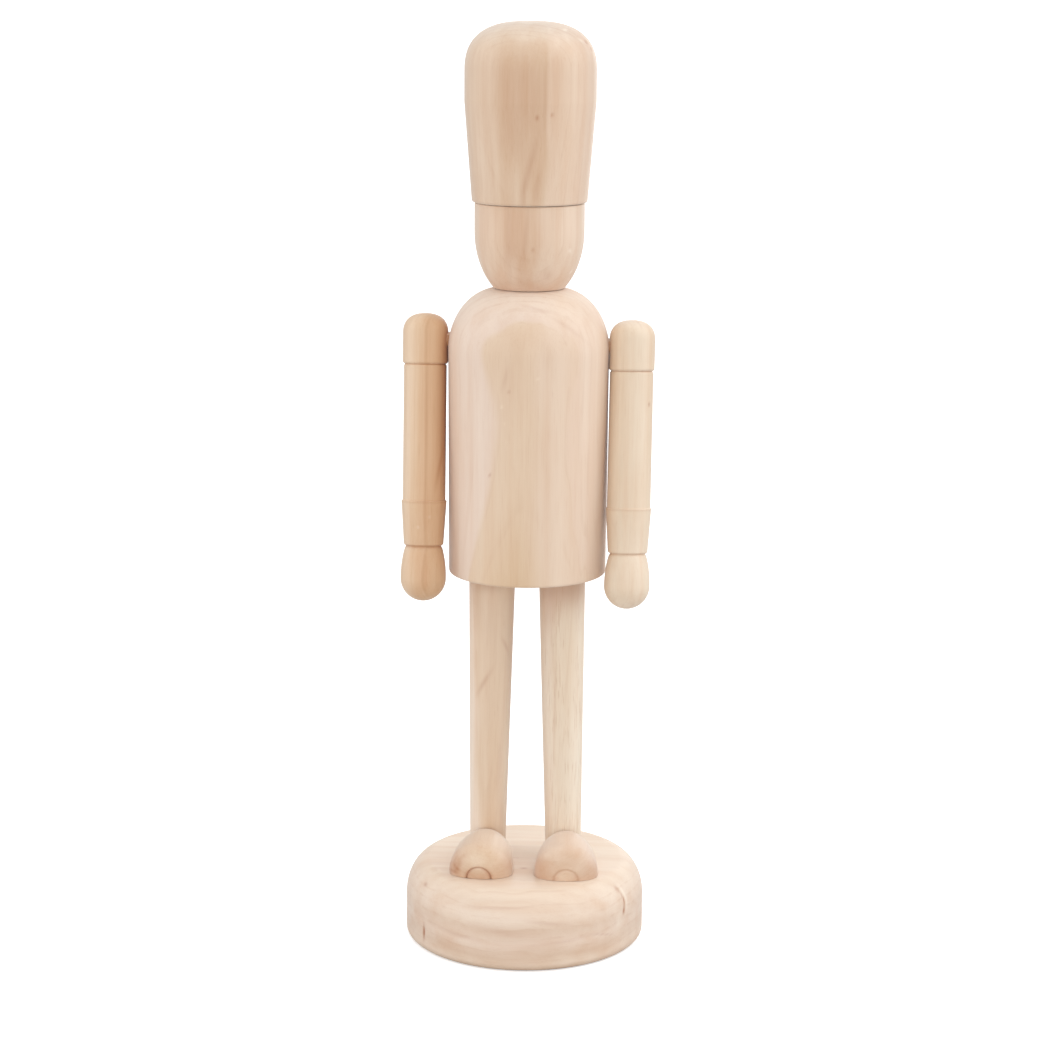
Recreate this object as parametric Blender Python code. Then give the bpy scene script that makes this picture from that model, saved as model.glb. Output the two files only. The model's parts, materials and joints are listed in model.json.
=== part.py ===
"""A turned wooden nutcracker figure: a plain soldier in a tall hat, standing on a round base.

Metres, +Z up. The figure faces -Y, and the origin is the middle of the base's underside. Left and right are
the figure's own, so its left is on +X.
"""

import math

import bmesh
import bpy
from mathutils import Color, Matrix, Vector

# Round base
BASE_DIAMETER = 0.0790
BASE_SIDE_HEIGHT = 0.0140
BASE_EDGE_RISE = 0.0120
BASE_EDGE_RUN = 0.0080
BASE_BOTTOM_ROUND = 0.0028

# Legs, set a little behind the base's middle and splayed towards the ankles
LEG_LENGTH = 0.0964
LEG_TOP_DIAMETER = 0.0153
LEG_BOTTOM_DIAMETER = 0.0118
LEG_END_CHAMFER = 0.0004
HIP_SPACING = 0.0229
ANKLE_SPACING = 0.0253
FIGURE_SETBACK = 0.0030

# Feet: turned eggs laid heel up, sawn flat under the sole and at the heel, with a turning nub on the toe
FOOT_LENGTH = 0.0206
FOOT_DIAMETER = 0.0195
FOOT_TOE_LENGTH = 0.0058
FOOT_HEEL_DIAMETER = 0.0134
FOOT_TILT = math.radians(9.5)
TOE_END_DIAMETER = 0.0088
TOE_NUB_DIAMETER = 0.0074
TOE_NUB_LENGTH = 0.0004
FOOT_SPACING = 0.0264
FEET_SHIFT = 0.0007
FOOT_TURN_OUT = math.radians(2.8)

# Body
BODY_DIAMETER = 0.0516
BODY_HEM_DIAMETER = 0.0510
BODY_HEM_ROUND = 0.0008
BODY_SIDE_HEIGHT = 0.0729
BODY_SHOULDER_RISE = 0.0200
BODY_SHOULDER_RUN = 0.0160

# Head
HEAD_DIAMETER = 0.0352
HEAD_CHEEK_HEIGHT = 0.0092
HEAD_CHIN_HEIGHT = 0.0178
HEAD_SEAT_DIAMETER = 0.0228
HEAD_EDGE_ROUND = 0.0005

# Tall hat
HAT_DIAMETER = 0.0419
HAT_BRIM_DIAMETER = 0.0370
HAT_BRIM_ROUND = 0.0009
HAT_TAPER_HEIGHT = 0.0315
HAT_BAND_HEIGHT = 0.0090
HAT_CROWN_HEIGHT = 0.0160
HAT_CROWN_POWER = 2.6

# Arms, each turned in one piece: shoulder cap, sleeve, cuff and fist
CAP_DIAMETER = 0.0147
CAP_DOME_HEIGHT = 0.0065
CAP_DOME_POWER = 2.4
CAP_SIDE_HEIGHT = 0.0098
CAP_CHAMFER = 0.0005
CAP_GROOVE_WIDTH = 0.0005
CAP_GROOVE_DEPTH = 0.0003
SLEEVE_DIAMETER = 0.0134
SLEEVE_LENGTH = 0.0441
CUFF_DIAMETER = 0.0147
CUFF_END_DIAMETER = 0.0129
CUFF_LENGTH = 0.0142
WRIST_DIAMETER = 0.0114
WRIST_GROOVE_WIDTH = 0.0012
FIST_TOP_DIAMETER = 0.0122
FIST_DIAMETER = 0.0148
FIST_TOP_LENGTH = 0.0098
FIST_END_LENGTH = 0.0075
SHOULDER_BELOW_CAP = 0.0085
SHOULDER_BELOW_NECK = 0.0171
LEFT_SHOULDER_DROP = 0.0013
ARM_SWING = math.radians(8.0)

# Dowels and pegs
NECK_DOWEL_DIAMETER = 0.0100
NECK_DOWEL_LENGTH = 0.0260
HAT_DOWEL_DIAMETER = 0.0080
HAT_DOWEL_LENGTH = 0.0200
HIP_DOWEL_DIAMETER = 0.0070
HIP_DOWEL_LENGTH = 0.0240
FOOT_DOWEL_DIAMETER = 0.0040
FOOT_DOWEL_LENGTH = 0.0120
SHOULDER_PEG_DIAMETER = 0.0050
SHOULDER_PEG_IN_BODY = 0.0100
SHOULDER_PEG_IN_ARM = 0.0090
DOWEL_CHAMFER = 0.0005

# Countersunk wood screws, driven up through the base into the legs
SCREW_LENGTH = 0.0420
SCREW_DIAMETER = 0.0040
SCREW_HEAD_DIAMETER = 0.0078
SCREW_HEAD_RIM = 0.0004
SCREW_TIP_LENGTH = 0.0040
SCREW_SINK = 0.0006
SCREW_CROSS_LENGTH = 0.0042
SCREW_CROSS_WIDTH = 0.0010
SCREW_CROSS_DEPTH = 0.0016

# Clearances: between faces that meet, round a dowel, past its end, and beside an arm that turns
SEAT_GAP = 0.0003
BORE_GAP = 0.0003
BORE_END_GAP = 0.0004
ARM_GAP = 0.0003

# Fineness of the round work
TURN_STEPS = 40
ARM_STEPS = 28
DOWEL_STEPS = 16
ARC_STEPS = 6
ROUND_STEPS = 3
WELD_DISTANCE = 1e-6
CUT_OVERRUN = 0.0020
SMOOTH_ANGLE = math.radians(32.0)

# Colours as the eye sees them
HAT_WOOD = (0.85, 0.72, 0.60)
HEAD_WOOD = (0.87, 0.75, 0.64)
BODY_WOOD = (0.90, 0.80, 0.71)
BASE_WOOD = (0.92, 0.84, 0.76)
DOWEL_WOOD = (0.84, 0.70, 0.54)
LIMB_WOODS = {
    "left_arm": (0.91, 0.82, 0.72),
    "right_arm": (0.84, 0.70, 0.55),
    "left_leg": (0.89, 0.81, 0.71),
    "right_leg": (0.87, 0.76, 0.66),
    "left_foot": (0.91, 0.80, 0.70),
    "right_foot": (0.89, 0.79, 0.69),
}
SCREW_STEEL = (0.62, 0.60, 0.55)
WOOD_ROUGHNESS = 0.55
STEEL_ROUGHNESS = 0.35

SIDES = {"left": 1, "right": -1}
UP = Vector((0, 0, 1))
OUT = Vector((1, 0, 0))
BACK = Vector((0, 1, 0))

base_top = BASE_SIDE_HEIGHT + BASE_EDGE_RISE
leg_bottom = base_top + SEAT_GAP
body_bottom = leg_bottom + LEG_LENGTH + SEAT_GAP
body_top = body_bottom + BODY_SIDE_HEIGHT + BODY_SHOULDER_RISE
head_bottom = body_top + SEAT_GAP
hat_bottom = head_bottom + HEAD_CHIN_HEIGHT + HEAD_CHEEK_HEIGHT + SEAT_GAP


def on_axis(height):
    """A point on the figure's own upright axis."""
    return Vector((0, FIGURE_SETBACK, height))


def swell(radius, height, end_radius, rise, power=2.0):
    """Points of a superellipse centred on the axis. It leaves (radius, height) along the axis, and has drawn
    in to end_radius where it has gone rise further."""
    end = math.acos((end_radius / radius) ** (power / 2))
    reach = rise / math.sin(end) ** (2 / power)
    turns = [end * step / ARC_STEPS for step in range(ARC_STEPS + 1)]
    return [
        (radius * math.cos(turn) ** (2 / power), height + reach * math.sin(turn) ** (2 / power))
        for turn in turns
    ]


def round_over(radius, height, run, rise, steps=ROUND_STEPS):
    """Points of a quarter ellipse that rounds an edge, from (radius, height) on the side to a flat that lies
    rise further along the axis and starts run nearer to it."""
    turns = [math.pi / 2 * step / steps for step in range(steps + 1)]
    return [(radius - run * (1 - math.cos(turn)), height + rise * math.sin(turn)) for turn in turns]


def finish(obj, colour, roughness, metallic=0.0):
    """Gives a piece its own material."""
    material = bpy.data.materials.new(obj.name)
    material.use_nodes = True
    shader = material.node_tree.nodes["Principled BSDF"]
    shader.inputs["Base Color"].default_value = (*Color(colour).from_srgb_to_scene_linear(), 1.0)
    shader.inputs["Roughness"].default_value = roughness
    shader.inputs["Metallic"].default_value = metallic
    obj.data.materials.append(material)


def piece(name, bm):
    """An object from a finished bmesh, shaded smooth apart from its real edges."""
    mesh = bpy.data.meshes.new(name)
    bm.to_mesh(mesh)
    bm.free()
    mesh.shade_smooth()
    mesh.set_sharp_from_angle(angle=SMOOTH_ANGLE)
    obj = bpy.data.objects.new(name, mesh)
    bpy.context.scene.collection.objects.link(obj)
    return obj


def spun(outline, steps):
    """An outline, (radius, height) pairs from one end of the axis to the other, spun about Z."""
    bm = bmesh.new()
    points = [bm.verts.new((radius, 0, height)) for radius, height in outline]
    edges = [bm.edges.new(pair) for pair in zip(points, points[1:])]
    bmesh.ops.spin(bm, geom=points + edges, axis=UP, cent=(0, 0, 0), angle=2 * math.pi, steps=steps)
    bmesh.ops.remove_doubles(bm, verts=bm.verts, dist=WELD_DISTANCE)
    bmesh.ops.recalc_face_normals(bm, faces=bm.faces)
    return bm


def turned(name, outline, steps=TURN_STEPS):
    """A piece as it comes off the lathe."""
    return piece(name, spun(outline, steps))


def saw_flat(bm, normal):
    """Saws off what lies beyond a plane through the origin, and closes the cut with a flat face."""
    geometry = bm.verts[:] + bm.edges[:] + bm.faces[:]
    bmesh.ops.bisect_plane(
        bm, geom=geometry, dist=WELD_DISTANCE, plane_co=(0, 0, 0), plane_no=normal, clear_outer=True
    )
    bmesh.ops.holes_fill(bm, edges=[edge for edge in bm.edges if edge.is_boundary])
    bmesh.ops.recalc_face_normals(bm, faces=bm.faces)


def place(obj, at, along=UP):
    """Puts an object's origin at a point, with its own Z along a direction."""
    obj.location = at
    obj.rotation_mode = "QUATERNION"
    obj.rotation_quaternion = along.to_track_quat("Z", "Y")


def cut(target, cutter):
    """Takes a cutter's shape out of a piece."""
    cutter.hide_render = True
    cutter.display_type = "WIRE"
    boolean = target.modifiers.new(cutter.name, "BOOLEAN")
    boolean.operation = "DIFFERENCE"
    boolean.object = cutter


def bore(target, name, mouth, along, diameter, depth):
    """A blind round hole into a piece, from its mouth along a direction."""
    outline = [(0, -CUT_OVERRUN), (diameter / 2, -CUT_OVERRUN), (diameter / 2, depth), (0, depth)]
    cutter = turned(name, outline, DOWEL_STEPS)
    place(cutter, mouth, along)
    cut(target, cutter)


def dowel(name, start, along, diameter, length):
    """A plain dowel with chamfered ends."""
    outline = [
        (0, 0),
        (diameter / 2 - DOWEL_CHAMFER, 0),
        (diameter / 2, DOWEL_CHAMFER),
        (diameter / 2, length - DOWEL_CHAMFER),
        (diameter / 2 - DOWEL_CHAMFER, length),
        (0, length),
    ]
    obj = turned(name, outline, DOWEL_STEPS)
    place(obj, start, along)
    finish(obj, DOWEL_WOOD, WOOD_ROUGHNESS)
    return obj


def dowel_joint(name, face, along, diameter, before, after, first, second):
    """A dowel across the face between two pieces, before deep in the first and after deep in the second,
    and the bore that each needs for it."""
    bore_diameter = diameter + 2 * BORE_GAP
    bore(first, f"{name}_bore_{first.name}", face, -along, bore_diameter, before + BORE_END_GAP)
    bore(second, f"{name}_bore_{second.name}", face, along, bore_diameter, after + BORE_END_GAP)
    return dowel(name, face - along * before, along, diameter, before + after)


def make_base():
    radius = BASE_DIAMETER / 2
    outline = [(0, 0)]
    outline += reversed(round_over(radius, BASE_BOTTOM_ROUND, BASE_BOTTOM_ROUND, -BASE_BOTTOM_ROUND))
    outline += round_over(radius, BASE_SIDE_HEIGHT, BASE_EDGE_RUN, BASE_EDGE_RISE, ARC_STEPS)
    outline += [(0, base_top)]
    base = turned("base", outline)
    finish(base, BASE_WOOD, WOOD_ROUGHNESS)
    return base


def make_body():
    radius = BODY_DIAMETER / 2
    outline = [(0, 0)]
    outline += reversed(round_over(BODY_HEM_DIAMETER / 2, BODY_HEM_ROUND, BODY_HEM_ROUND, -BODY_HEM_ROUND))
    outline += round_over(radius, BODY_SIDE_HEIGHT, BODY_SHOULDER_RUN, BODY_SHOULDER_RISE, ARC_STEPS)
    outline += [(0, BODY_SIDE_HEIGHT + BODY_SHOULDER_RISE)]
    body = turned("body", outline)
    place(body, on_axis(body_bottom))
    finish(body, BODY_WOOD, WOOD_ROUGHNESS)
    return body


def make_head():
    radius = HEAD_DIAMETER / 2
    height = HEAD_CHIN_HEIGHT + HEAD_CHEEK_HEIGHT
    outline = [(0, 0)]
    outline += reversed(swell(radius, HEAD_CHIN_HEIGHT, HEAD_SEAT_DIAMETER / 2, -HEAD_CHIN_HEIGHT))
    outline += round_over(radius, height - HEAD_EDGE_ROUND, HEAD_EDGE_ROUND, HEAD_EDGE_ROUND)
    outline += [(0, height)]
    head = turned("head", outline)
    place(head, on_axis(head_bottom))
    finish(head, HEAD_WOOD, WOOD_ROUGHNESS)
    return head


def make_hat():
    radius = HAT_DIAMETER / 2
    outline = [(0, 0)]
    outline += reversed(round_over(HAT_BRIM_DIAMETER / 2, HAT_BRIM_ROUND, HAT_BRIM_ROUND, -HAT_BRIM_ROUND))
    outline += [(radius, HAT_TAPER_HEIGHT)]
    outline += swell(radius, HAT_TAPER_HEIGHT + HAT_BAND_HEIGHT, 0, HAT_CROWN_HEIGHT, HAT_CROWN_POWER)
    hat = turned("hat", outline)
    place(hat, on_axis(hat_bottom))
    finish(hat, HAT_WOOD, WOOD_ROUGHNESS)
    return hat


def leg_axis(side):
    """The ankle and the hip of one leg, on its axis at the leg's two ends."""
    ankle = Vector((side * ANKLE_SPACING / 2, FIGURE_SETBACK, leg_bottom))
    hip = Vector((side * HIP_SPACING / 2, FIGURE_SETBACK, leg_bottom + LEG_LENGTH))
    return ankle, hip


def make_leg(name, side):
    ankle, hip = leg_axis(side)
    length = (hip - ankle).length
    outline = [
        (0, 0),
        (LEG_BOTTOM_DIAMETER / 2 - LEG_END_CHAMFER, 0),
        (LEG_BOTTOM_DIAMETER / 2, LEG_END_CHAMFER),
        (LEG_TOP_DIAMETER / 2, length - LEG_END_CHAMFER),
        (LEG_TOP_DIAMETER / 2 - LEG_END_CHAMFER, length),
        (0, length),
    ]
    leg = turned(name, outline, ARM_STEPS)
    place(leg, ankle, (hip - ankle).normalized())
    finish(leg, LIMB_WOODS[name], WOOD_ROUGHNESS)
    return leg


def make_foot(name, side):
    """A turned egg, its toe's middle level with the sole and its axis rising to the heel. The sole lies on
    the base, and the heel stands against the leg. The foot's origin is at the heel, level with the sole."""
    radius = FOOT_DIAMETER / 2
    egg_length = (FOOT_LENGTH + radius * math.sin(FOOT_TILT)) / math.cos(FOOT_TILT)
    outline = [(0, -TOE_NUB_LENGTH), (TOE_NUB_DIAMETER / 2, -TOE_NUB_LENGTH), (TOE_NUB_DIAMETER / 2, 0)]
    outline += reversed(swell(radius, FOOT_TOE_LENGTH, TOE_END_DIAMETER / 2, -FOOT_TOE_LENGTH))
    outline += swell(radius, FOOT_TOE_LENGTH, FOOT_HEEL_DIAMETER / 2, egg_length - FOOT_TOE_LENGTH)[1:]
    outline += [(0, egg_length)]
    bm = spun(outline, ARM_STEPS)
    laid = Matrix.Translation((0, -FOOT_LENGTH, 0)) @ Matrix.Rotation(FOOT_TILT - math.pi / 2, 4, "X")
    bmesh.ops.transform(bm, matrix=laid, verts=bm.verts)
    saw_flat(bm, -UP)
    saw_flat(bm, BACK)
    foot = piece(name, bm)

    heel_height = radius + FOOT_LENGTH * math.sin(FOOT_TILT)
    leg_taper = (LEG_TOP_DIAMETER - LEG_BOTTOM_DIAMETER) / LEG_LENGTH
    leg_front = (LEG_BOTTOM_DIAMETER + leg_taper * heel_height) / 2
    heel = FIGURE_SETBACK - leg_front - SEAT_GAP
    foot.location = (FEET_SHIFT + side * FOOT_SPACING / 2, heel, base_top + SEAT_GAP)
    foot.rotation_euler = (0, 0, side * FOOT_TURN_OUT)
    finish(foot, LIMB_WOODS[name], WOOD_ROUGHNESS)
    return foot


def arm_outline():
    """One arm's outline from the top of its cap down to its fist, with the shoulder's pivot at height 0."""
    cap_spring = SHOULDER_BELOW_CAP - CAP_DOME_HEIGHT
    cap_end = cap_spring - CAP_SIDE_HEIGHT
    sleeve_end = cap_end - SLEEVE_LENGTH
    cuff_end = sleeve_end - CUFF_LENGTH
    fist_top = cuff_end - WRIST_GROOVE_WIDTH
    fist_widest = fist_top - FIST_TOP_LENGTH
    outline = swell(CAP_DIAMETER / 2, cap_spring, 0, CAP_DOME_HEIGHT, CAP_DOME_POWER)[::-1]
    outline += [
        (CAP_DIAMETER / 2, cap_end + CAP_CHAMFER),
        (CAP_DIAMETER / 2 - CAP_CHAMFER, cap_end),
        (SLEEVE_DIAMETER / 2 - CAP_GROOVE_DEPTH, cap_end),
        (SLEEVE_DIAMETER / 2, cap_end - CAP_GROOVE_WIDTH),
        (SLEEVE_DIAMETER / 2, sleeve_end),
        (CUFF_DIAMETER / 2, sleeve_end),
        (CUFF_END_DIAMETER / 2, cuff_end),
        (WRIST_DIAMETER / 2, cuff_end - WRIST_GROOVE_WIDTH / 2),
    ]
    outline += swell(FIST_DIAMETER / 2, fist_widest, FIST_TOP_DIAMETER / 2, FIST_TOP_LENGTH)[::-1]
    outline += swell(FIST_DIAMETER / 2, fist_widest, 0, -FIST_END_LENGTH)[1:]
    return outline


def make_arm(name, shoulder):
    """An arm on its shoulder, an empty whose X axis is the peg that the arm turns on."""
    arm = turned(name, arm_outline(), ARM_STEPS)
    arm.parent = shoulder
    finish(arm, LIMB_WOODS[name], WOOD_ROUGHNESS)
    return arm


def make_shoulder(name, side, height):
    """The empty that carries an arm, out far enough for the arm's widest part to pass the body."""
    reach = max(radius for radius, _ in arm_outline())
    shoulder = bpy.data.objects.new(name, None)
    bpy.context.scene.collection.objects.link(shoulder)
    shoulder.location = (side * (BODY_DIAMETER / 2 + ARM_GAP + reach), FIGURE_SETBACK, height)
    shoulder.rotation_euler = (-ARM_SWING, 0, 0)
    return shoulder


def screw_outline(margin=0.0):
    """A countersunk screw from its head up to its tip, grown by a margin for the hole it goes through."""
    head = SCREW_HEAD_DIAMETER / 2 + margin
    shank = SCREW_DIAMETER / 2 + margin
    cone_start = SCREW_SINK + SCREW_HEAD_RIM
    cone_end = cone_start + (SCREW_HEAD_DIAMETER - SCREW_DIAMETER) / 2
    return [
        (0, SCREW_SINK),
        (head, SCREW_SINK),
        (head, cone_start),
        (shank, cone_end),
        (shank, SCREW_SINK + SCREW_LENGTH - SCREW_TIP_LENGTH),
        (0, SCREW_SINK + SCREW_LENGTH + margin),
    ]


def make_screw(name, side, base, leg):
    """One leg's screw with its cross recess, its countersunk hole in the base and its hole in the leg."""
    at = Vector((side * ANKLE_SPACING / 2, FIGURE_SETBACK, 0))
    screw = turned(name, screw_outline(), DOWEL_STEPS)
    place(screw, at)
    for arm, (length, width) in enumerate(
        [(SCREW_CROSS_LENGTH, SCREW_CROSS_WIDTH), (SCREW_CROSS_WIDTH, SCREW_CROSS_LENGTH)]
    ):
        bm = bmesh.new()
        bmesh.ops.create_cube(bm, size=1, matrix=Matrix.Diagonal((length, width, 2 * SCREW_CROSS_DEPTH, 1)))
        slot = piece(f"{name}_slot_{arm}", bm)
        place(slot, at + UP * SCREW_SINK)
        cut(screw, slot)
    hole = screw_outline(BORE_GAP)
    mouth = [(0, -CUT_OVERRUN), (hole[1][0], -CUT_OVERRUN)]
    cutter = turned(f"{name}_hole", mouth + hole[2:], DOWEL_STEPS)
    place(cutter, at)
    cut(base, cutter)
    cut(leg, cutter)
    finish(screw, SCREW_STEEL, STEEL_ROUGHNESS, 1.0)
    return screw


def make_figure():
    for obj in list(bpy.data.objects):
        bpy.data.objects.remove(obj, do_unlink=True)

    base = make_base()
    body = make_body()
    head = make_head()
    hat = make_hat()
    fixed = [base, body, head, hat]

    half_seat = UP * SEAT_GAP / 2
    half_neck = NECK_DOWEL_LENGTH / 2
    neck = on_axis(body_top) + half_seat
    fixed.append(dowel_joint("neck_dowel", neck, UP, NECK_DOWEL_DIAMETER, half_neck, half_neck, body, head))
    half_hat = HAT_DOWEL_LENGTH / 2
    brim = on_axis(hat_bottom) - half_seat
    fixed.append(dowel_joint("hat_dowel", brim, UP, HAT_DOWEL_DIAMETER, half_hat, half_hat, head, hat))

    shoulder_drops = {"left": LEFT_SHOULDER_DROP, "right": 0.0}
    for name, side in SIDES.items():
        leg = make_leg(f"{name}_leg", side)
        foot = make_foot(f"{name}_foot", side)
        ankle, hip = leg_axis(side)
        along = (hip - ankle).normalized()
        half_hip = HIP_DOWEL_LENGTH / 2
        hip_dowel = dowel_joint(
            f"{name}_hip_dowel", hip + half_seat, along, HIP_DOWEL_DIAMETER, half_hip, half_hip, leg, body
        )
        screw = make_screw(f"{name}_leg_screw", side, base, leg)

        heel = foot.location
        toes = Vector((side * math.sin(FOOT_TURN_OUT), -math.cos(FOOT_TURN_OUT), 0))
        sole = heel + toes * FOOT_LENGTH / 2 - half_seat
        half_foot = FOOT_DOWEL_LENGTH / 2
        foot_dowel = dowel_joint(
            f"{name}_foot_dowel", sole, UP, FOOT_DOWEL_DIAMETER, half_foot, half_foot, base, foot
        )

        shoulder = make_shoulder(
            f"{name}_shoulder", side, body_top - SHOULDER_BELOW_NECK - shoulder_drops[name]
        )
        arm = make_arm(f"{name}_arm", shoulder)
        armhole = Vector((side * (BODY_DIAMETER + ARM_GAP) / 2, FIGURE_SETBACK, shoulder.location.z))
        peg = dowel_joint(
            f"{name}_shoulder_peg",
            armhole,
            OUT * side,
            SHOULDER_PEG_DIAMETER,
            SHOULDER_PEG_IN_BODY,
            SHOULDER_PEG_IN_ARM,
            body,
            arm,
        )
        fixed += [leg, foot, hip_dowel, screw, foot_dowel, peg, shoulder]

    figure = bpy.data.objects.new("figure", None)
    bpy.context.scene.collection.objects.link(figure)
    for obj in fixed:
        obj.parent = figure


make_figure()
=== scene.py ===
"""Looks of a turned nutcracker figure in bare hardwood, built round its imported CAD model.

The frame is the CAD's: metres, +Z up, the figure faces -Y and its own left is on +X. Shapes are worked out in
millimetres. A bearing is an angle about a piece's axis, from the front (-Y) towards +X.
"""

import json
import math

import bpy
import numpy as np
from mathutils import Euler, Matrix, Vector


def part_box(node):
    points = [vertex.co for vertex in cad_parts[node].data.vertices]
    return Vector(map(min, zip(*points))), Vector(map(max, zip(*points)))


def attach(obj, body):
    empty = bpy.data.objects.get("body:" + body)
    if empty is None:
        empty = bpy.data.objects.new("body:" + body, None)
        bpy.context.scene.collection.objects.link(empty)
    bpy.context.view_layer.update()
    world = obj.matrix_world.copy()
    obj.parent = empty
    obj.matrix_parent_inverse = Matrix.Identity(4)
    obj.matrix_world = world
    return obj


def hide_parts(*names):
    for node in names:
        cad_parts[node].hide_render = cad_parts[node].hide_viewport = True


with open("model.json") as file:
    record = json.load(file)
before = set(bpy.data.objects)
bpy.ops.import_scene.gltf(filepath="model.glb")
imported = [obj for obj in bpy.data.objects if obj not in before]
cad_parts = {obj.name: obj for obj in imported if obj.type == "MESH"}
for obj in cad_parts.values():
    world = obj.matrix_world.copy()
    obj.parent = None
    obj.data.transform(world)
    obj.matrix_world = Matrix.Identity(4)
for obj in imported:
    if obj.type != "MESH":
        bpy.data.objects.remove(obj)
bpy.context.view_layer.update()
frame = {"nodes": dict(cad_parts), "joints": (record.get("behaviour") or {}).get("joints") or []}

MM = 0.001
FULL_TURN = 2 * math.pi
QUARTER = math.pi / 2
LEVEL = (0, 0, 0)

# Where things stand, in millimetres: how far the figure's axis lies behind the base's middle, how far ankles, hips
# and feet stand to the side of it, how far both feet are shifted and turned out, and the height of the base's top
FIGURE_SETBACK = 3.0
ANKLE_ASIDE = 12.65
HIP_ASIDE = 11.45
FOOT_ASIDE = 13.2
FEET_SHIFT = 0.7
FOOT_TURN_OUT = math.radians(2.8)
BASE_TOP = 26.0

# How far legs and feet, and how far head and hat, reach into the CAD's gap under them
SEATED = 0.25
HEAD_SEATED = 0.2

# The arms: their swing forward at rest, how much nearer to the body than the CAD's they are drawn, how far each one
# leans inwards, and the radius of each sleeve
ARM_SWING = math.radians(8.0)
ARM_SNUG = 0.18
ARM_LEAN = {"left_arm": math.radians(0.32), "right_arm": math.radians(0.15)}
SLEEVE = {"left_arm": 7.05, "right_arm": 6.95}

# The way an outline is drawn: points on each of its curves, how finely it is walked, how softly its corners are
# sanded and how many times the softness a bell curve reaches, and how far apart its rows lie
CURVE_POINTS = 80
DRAWN_STEP = 0.02
CORNER_SOFTNESS = 0.14
BELL_REACH = 4
ROW_STEP = 0.55
ROW_BEND = math.radians(9.0)

# Unevenness and dents fade out this near to a piece's axis, and this near to the base's lower rim. The waves of the
# unevenness drift by at most this many radians for each millimetre along the axis
AXIS_FADE = 4
RIM_FADE = 3
WAVE_DRIFT = 0.07

# A mark of this width goes all round a limb
ALL_ROUND = 40.0


# Outlines, (radius, height) in millimetres, from the bottom of a piece to its top


def swell(radius, height, end_radius, rise, power=2.0):
    """A superellipse about the axis: radius cos(t)^(2/power) against height + reach sin(t)^(2/power). It leaves
    (radius, height) along the axis, and has drawn in to end_radius where it has gone rise further."""
    end = math.acos((end_radius / radius) ** (power / 2))
    reach = rise / math.sin(end) ** (2 / power)
    turn = np.linspace(0, end, CURVE_POINTS)
    return np.stack([radius * np.cos(turn) ** (2 / power), height + reach * np.sin(turn) ** (2 / power)], axis=1)


def round_over(radius, height, run, rise):
    """A quarter ellipse from (radius, height) on the side: radius - run (1 - cos t) against height + rise sin t."""
    turn = np.linspace(0, QUARTER, CURVE_POINTS)
    return np.stack([radius - run * (1 - np.cos(turn)), height + rise * np.sin(turn)], axis=1)


def sanded(outline, softness=CORNER_SOFTNESS, step=ROW_STEP):
    """The outline walked in even small steps and averaged with a bell curve, which rounds its corners and keeps
    its ends. Rows are then taken at even amounts of (length / step + bend / ROW_BEND), so they crowd at bends."""
    points = np.asarray(outline, float)
    walked = np.r_[0, np.cumsum(np.hypot(*np.diff(points, axis=0).T))]
    even = np.linspace(0, walked[-1], int(walked[-1] / DRAWN_STEP) + 2)
    reach = int(BELL_REACH * softness / DRAWN_STEP)
    bell = np.exp(-0.5 * (np.arange(-reach, reach + 1) * DRAWN_STEP / softness) ** 2)
    bell /= bell.sum()
    smooth = []
    for values in points.T:
        drawn = np.pad(np.interp(even, walked, values), reach, mode="reflect", reflect_type="odd")
        smooth.append(np.convolve(drawn, bell, "valid"))
    smooth = np.array(smooth)
    slope = np.gradient(smooth, axis=1)
    heading = np.unwrap(np.arctan2(slope[1], slope[0]))
    busy = np.r_[0, np.cumsum(np.diff(even) / step + np.abs(np.diff(heading)) / ROW_BEND)]
    rows = np.linspace(0, busy[-1], int(busy[-1]) + 2)
    return np.stack([np.interp(rows, busy, values) for values in smooth], axis=1)


# Surfaces


def uneven(seed, bearing, along, depth):
    """Hand-fed turning: how far the wood lies inside a true round, from 0 to depth. Five waves round the axis,
    each with its own phase and drift along it, add up to a slow unevenness."""
    dice = np.random.default_rng(seed)
    count = np.arange(1, 6)
    phase = dice.uniform(0, FULL_TURN, len(count))
    drift = dice.uniform(-WAVE_DRIFT, WAVE_DRIFT, len(count))
    waves = sum(np.cos(k * bearing + p + d * along) / k for k, p, d in zip(count, phase, drift))
    return depth * (1 - waves / np.sum(1 / count)) / 2


def blemishes_and_shade(marks, bearing, along, radius, reach):
    """Sums bell-shaped marks over a surface, each (bearing in degrees, height, width, length, slant in degrees,
    depth, tint): exp(-(side^2 / width^2 + run^2 / length^2) / 2), with side and run the distances from its middle
    round the piece and along it, turned by the slant. Stains and painted shade have a tint above 0, and pale marks
    one below. Returns the depth and the tint."""
    depth = np.zeros(np.broadcast(bearing, along).shape)
    tint = np.zeros_like(depth)
    for at, height, width, length, slant, dent, shade in marks:
        turn = (bearing - math.radians(at) + math.pi) % FULL_TURN - math.pi
        across, up = turn * radius, along - reach(height)
        lean = math.radians(slant)
        side = across * math.cos(lean) - up * math.sin(lean)
        run = across * math.sin(lean) + up * math.cos(lean)
        bell = np.exp(-0.5 * ((side / width) ** 2 + (run / length) ** 2))
        depth += dent * bell
        tint += shade * bell
    return depth, tint


def bearings(columns):
    """Even bearings all round an axis, as one row."""
    return np.arange(columns)[None, :] * (FULL_TURN / columns)


def grid_faces(rows, columns):
    """Quads of a grid that closes on itself round its columns, anticlockwise from outside."""
    row, column = np.meshgrid(np.arange(rows - 1), np.arange(columns), indexing="ij")
    corner = row * columns + column
    beside = row * columns + (column + 1) % columns
    return np.stack([corner, beside, beside + columns, corner + columns], axis=-1).reshape(-1, 4)


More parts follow.
